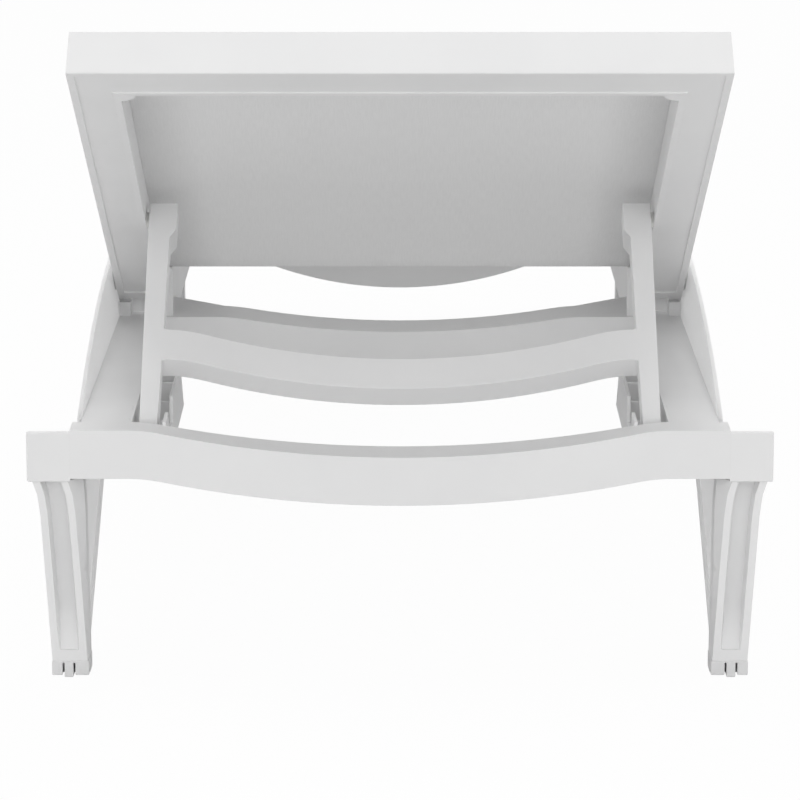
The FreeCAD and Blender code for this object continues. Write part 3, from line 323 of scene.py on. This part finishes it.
def prop_corner(edge, middle, direction):
    """The inner corners between the prop's legs and its bar."""
    return (not edge.is_convex and abs(direction.x) < 0.05 and abs(direction.z) > 0.8
            and abs(abs(middle.x) - prop_inner) < NEAR)


def head_edge(edge, middle, direction):
    """The long edges under the head end of the back."""
    return (edge.is_convex and abs(direction.x) > 0.99 and middle.y < head_end
            and max(face.normal.dot(underside) for face in edge.link_faces) > 0.97)


for side in ("left", "right"):
    moulding(f"side_rail_{side}", 0.0016, at_joint)
    moulding(f"side_panel_{side}", 0.0022)
    moulding(f"prop_rack_{side}", 0.0008, at_joint)
    for end in ("head", "foot"):
        moulding(f"leg_{end}_{side}", 0.0014)
        moulding(f"end_block_{end}_{side}", 0.0034, at_joint)
        moulding(f"foot_pad_{end}_{side}", 0.0012)
moulding("head_crossbar", 0.0028, at_joint)
moulding("foot_crossbar", 0.0022, at_joint)
moulding("hinge_crossbar", 0.0018, at_joint)
moulding("seat_crossbar", 0.0018, at_joint)
moulding("back_frame", 0.0016, fillet=head_edge)
moulding("prop_frame", 0.0028, fillet=prop_corner)


# ---- sling -----------------------------------------------------------------------------------------------

CLOTH = 0.0012
LOW_CLOTH = 0.0179       # middle of the cloth above the hinge axis, square to the seat or to the back
hinge = next(joint for joint in frame["joints"] if joint["name"] == "back_recline")["pos_m"]
rod_x = (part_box("seat_rod_right")[0].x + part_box("seat_rod_right")[1].x) / 2
foot_rod_y = (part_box("seat_rod_foot")[0].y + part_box("seat_rod_foot")[1].y) / 2
HEAD_ROD = 0.651         # from the hinge to the rod at the head, along the back
ROD_DROP = 0.0043        # from the middle of the cloth to the middle of a rod below it
WRAP = math.radians(42)  # how far round its rod the cloth is seen to go
CLEAR = 0.256            # half the cloth's width where it runs free of the frame's sides
TUCK_BACK = 0.014        # how far below the hinge the cloth keeps to the line of the back
TUCK_SEAT = 0.034        # where it joins the seat, past the hinge
TUCK_PULLS = 0.012, 0.010    # how hard the seat and the back hold the cloth's direction in the fold
TUCK = 24                # steps along the fold
STEP = 0.012             # from one row of the cloth's mesh to the next, lengthways
BACK_ROD_END = 0.0085    # end of the back's rods past the hinge

up_back = Vector((-math.cos(RECLINE), math.sin(RECLINE)))
back_normal = Vector((math.sin(RECLINE), math.cos(RECLINE)))
hinge_point = Vector((hinge[1], hinge[2]))
tuck_top = hinge_point + back_normal * LOW_CLOTH - up_back * TUCK_BACK
tuck_end = hinge_point + Vector((TUCK_SEAT, LOW_CLOTH))


def tuck_places():
    """The fold under the hinge: down the line of the back, then up to the seat, from the seat's side."""
    seat_pull, back_pull = TUCK_PULLS
    pulls = (tuck_end, tuck_end - Vector((seat_pull, 0.0)), tuck_top - up_back * back_pull, tuck_top)
    places = []
    for index in range(TUCK + 1):
        t = index / TUCK
        weights = ((1 - t) ** 3, 3 * t * (1 - t) ** 2, 3 * t * t * (1 - t), t ** 3)
        places.append(sum((pull * weight for pull, weight in zip(pulls, weights)), Vector((0.0, 0.0))))
    return places


def steps(low, high, size):
    """Places from low to high, about size apart."""
    count = max(1, round((high - low) / size))
    return [low + (high - low) * index / count for index in range(count + 1)]


def sling_line():
    """The middle line of the sling, as (y, z): round the foot rod, along the seat, the free stretch at the
    hinge, up the back and round the head rod."""
    wraps = steps(0.0, WRAP, math.radians(7))[1:]
    foot = Vector((foot_rod_y, hinge[2] + LOW_CLOTH))
    head = hinge_point + back_normal * LOW_CLOTH + up_back * HEAD_ROD
    foot_wrap = [foot + Vector((ROD_DROP * math.sin(turn), -ROD_DROP * (1 - math.cos(turn))))
                 for turn in reversed(wraps)]
    seat = [Vector((y, foot.y)) for y in reversed(steps(tuck_end.x, foot.x, STEP))][:-1]
    free = tuck_places() + [tuck_top + up_back * (TUCK_BACK - BACK_ROD_END)]
    back = [tuck_top + up_back * run
            for run in steps(TUCK_BACK - BACK_ROD_END, TUCK_BACK + HEAD_ROD, STEP)][1:]
    head_wrap = [head + up_back * ROD_DROP * math.sin(turn) - back_normal * ROD_DROP * (1 - math.cos(turn))
             for turn in wraps]
    return foot_wrap, seat, free, back, head_wrap


def sling():
    """The one sheet of cloth over seat and back, wrapped over the rods at its edges."""
    foot_wrap, seat, free, back, head_wrap = sling_line()
    line = foot_wrap + seat + free + back + head_wrap
    free_start, head_start = len(foot_wrap + seat), len(line) - len(head_wrap)
    runs = [0.0]
    for here, there in zip(line, line[1:]):
        runs.append(runs[-1] + (there - here).length)
    turns = steps(0.0, WRAP, math.radians(8))
    ends = [(rod_x + ROD_DROP * math.sin(turn), ROD_DROP * (1 - math.cos(turn)), rod_x + ROD_DROP * turn)
            for turn in turns]
    middle = sorted(set(steps(-rod_x, rod_x, 0.009)[1:-1] + [-CLEAR, CLEAR]))
    across = [(-x, drop, -reach) for x, drop, reach in reversed(ends)] + [(x, 0.0, x) for x in middle] + ends
    work = bmesh.new()
    cloth = work.verts.layers.float_vector.new("cloth")
    grid = []
    for index, place in enumerate(line):
        way = line[min(index + 1, len(line) - 1)] - line[max(index - 1, 0)]
        normal = Vector((way.y, -way.x)).normalized()
        row = []
        for x, drop, reach in across:
            vert = work.verts.new((x, place.x - normal.x * drop, place.y - normal.y * drop))
            vert[cloth] = (reach, runs[index], 0.0)
            row.append(vert)
        grid.append(row)
    for j in range(len(line) - 1):
        narrow = (j < len(foot_wrap) or j + 1 >= head_start
                  or free_start <= j < free_start + len(free) - 1)
        for i in range(len(across) - 1):
            if narrow and max(abs(across[i][2]), abs(across[i + 1][2])) > CLEAR + 1e-6:
                continue
            work.faces.new((grid[j][i], grid[j + 1][i], grid[j + 1][i + 1], grid[j][i + 1]))
    bmesh.ops.delete(work, geom=[vert for vert in work.verts if not vert.link_faces], context="VERTS")
    bmesh.ops.recalc_face_normals(work, faces=work.faces)
    work.normal_update()
    if sum(face.normal.z for face in work.faces) < 0:
        bmesh.ops.reverse_faces(work, faces=work.faces)
        work.normal_update()
    for vert in list(work.verts):
        vert.co += vert.normal * CLOTH / 2
    bmesh.ops.solidify(work, geom=list(work.faces), thickness=CLOTH)
    mesh = bpy.data.meshes.new("sling")
    work.to_mesh(mesh)
    work.free()
    mesh.shade_smooth()
    mesh.set_sharp_from_angle(angle=math.radians(50))
    mesh.materials.append(SLING)
    piece = bpy.data.objects.new("sling", mesh)
    bpy.context.scene.collection.objects.link(piece)
    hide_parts("back_sling", "seat_sling")
    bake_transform(piece)


sling()


# ---- camera, light and floor -----------------------------------------------------------------------------

BEFORE_HEAD = 3.66       # from the camera to the face of the head crossbar, level
ABOVE_LEDGE = 0.808      # from the top of the head crossbar up to the camera
LOOK_DOWN = math.radians(12.01)
camera = bpy.data.objects.new("camera", bpy.data.cameras.new("camera"))
camera.data.lens = 180.0
camera.data.sensor_width = 36.0
camera.data.clip_end = 60.0
camera.location = (0.0, bar_low.y - BEFORE_HEAD, bar_high.z + ABOVE_LEDGE)
camera.rotation_euler = (math.radians(90) - LOOK_DOWN, 0.0, 0.0)
bpy.context.scene.collection.objects.link(camera)
bpy.context.scene.camera = camera


def area_light(name, place, target, size, power):
    """A rectangular lamp at a place, turned to its target."""
    data = bpy.data.lights.new(name, "AREA")
    data.shape = "RECTANGLE"
    data.size, data.size_y = size
    data.energy = power
    lamp = bpy.data.objects.new(name, data)
    lamp.location = place
    lamp.rotation_euler = (Vector(target) - Vector(place)).to_track_quat("-Z", "Y").to_euler()
    bpy.context.scene.collection.objects.link(lamp)


area_light("overhead", (0.0, -0.2, 4.2), (0.0, -0.2, 0.0), (4.0, 2.0), 84.0)

# The studio's light: even all round, with more from the sides and low from the front.
AMBIENT, SIDE_LIGHT, FRONT_LIGHT = 0.20, 1.30, 2.25
world = bpy.data.worlds.new("studio")
world.use_nodes = True
bpy.context.scene.world = world
tree = world.node_tree
tree.nodes.clear()
path = tree.nodes.new("ShaderNodeLightPath")
seen = maths(tree, "MAXIMUM", path.outputs["Is Camera Ray"],
             maths(tree, "MAXIMUM", path.outputs["Is Glossy Ray"], path.outputs["Is Transmission Ray"]))
direction = tree.nodes.new("ShaderNodeSeparateXYZ")
tree.links.new(tree.nodes.new("ShaderNodeTexCoord").outputs["Generated"], direction.inputs["Vector"])
level = maths(tree, "MULTIPLY_ADD", maths(tree, "POWER", direction.outputs["X"], 2.0), SIDE_LIGHT, AMBIENT)
front = maths(tree, "MINIMUM", direction.outputs["Y"], 0.0)
level = maths(tree, "MULTIPLY_ADD", maths(tree, "POWER", front, 4.0), FRONT_LIGHT, level)
light_back = tree.nodes.new("ShaderNodeBackground")
tree.links.new(level, light_back.inputs["Strength"])
white_back = tree.nodes.new("ShaderNodeBackground")
white_back.inputs["Color"].default_value = (1.0, 1.0, 1.0, 1.0)
white_back.inputs["Strength"].default_value = 1.0
mix = tree.nodes.new("ShaderNodeMixShader")
tree.links.new(seen, mix.inputs["Fac"])
tree.links.new(light_back.outputs["Background"], mix.inputs[1])
tree.links.new(white_back.outputs["Background"], mix.inputs[2])
sky = tree.nodes.new("ShaderNodeOutputWorld")
tree.links.new(mix.outputs["Shader"], sky.inputs["Surface"])

FLOOR_REACH = 14.0       # half the floor's side
FLOOR_WHITE = 0.97       # how much of the floor the camera sees as plain white; the rest shows the shadow


def floor():
    """A plain floor that keeps the lounger's shadow and shows nearly white to the camera."""
    mesh = bpy.data.meshes.new("floor")
    mesh.from_pydata([(x * FLOOR_REACH, y * FLOOR_REACH, 0) for x, y in ((-1, -1), (1, -1), (1, 1), (-1, 1))],
                     [], [(0, 1, 2, 3)])
    piece = bpy.data.objects.new("floor", mesh)
    bpy.context.scene.collection.objects.link(piece)
    material = bpy.data.materials.new("floor")
    material.use_nodes = True
    tree = material.node_tree
    tree.nodes.clear()
    output = tree.nodes.new("ShaderNodeOutputMaterial")
    plain = tree.nodes.new("ShaderNodeBsdfDiffuse")
    plain.inputs["Color"].default_value = (0.80, 0.80, 0.80, 1.0)
    white = tree.nodes.new("ShaderNodeEmission")
    white.inputs["Strength"].default_value = 1.0
    path = tree.nodes.new("ShaderNodeLightPath")
    mix = tree.nodes.new("ShaderNodeMixShader")
    tree.links.new(maths(tree, "MULTIPLY", path.outputs["Is Camera Ray"], FLOOR_WHITE), mix.inputs["Fac"])
    tree.links.new(plain.outputs["BSDF"], mix.inputs[1])
    tree.links.new(white.outputs["Emission"], mix.inputs[2])
    tree.links.new(mix.outputs["Shader"], output.inputs["Surface"])
    mesh.materials.append(material)


floor()
bpy.context.scene.view_settings.view_transform = "Standard"
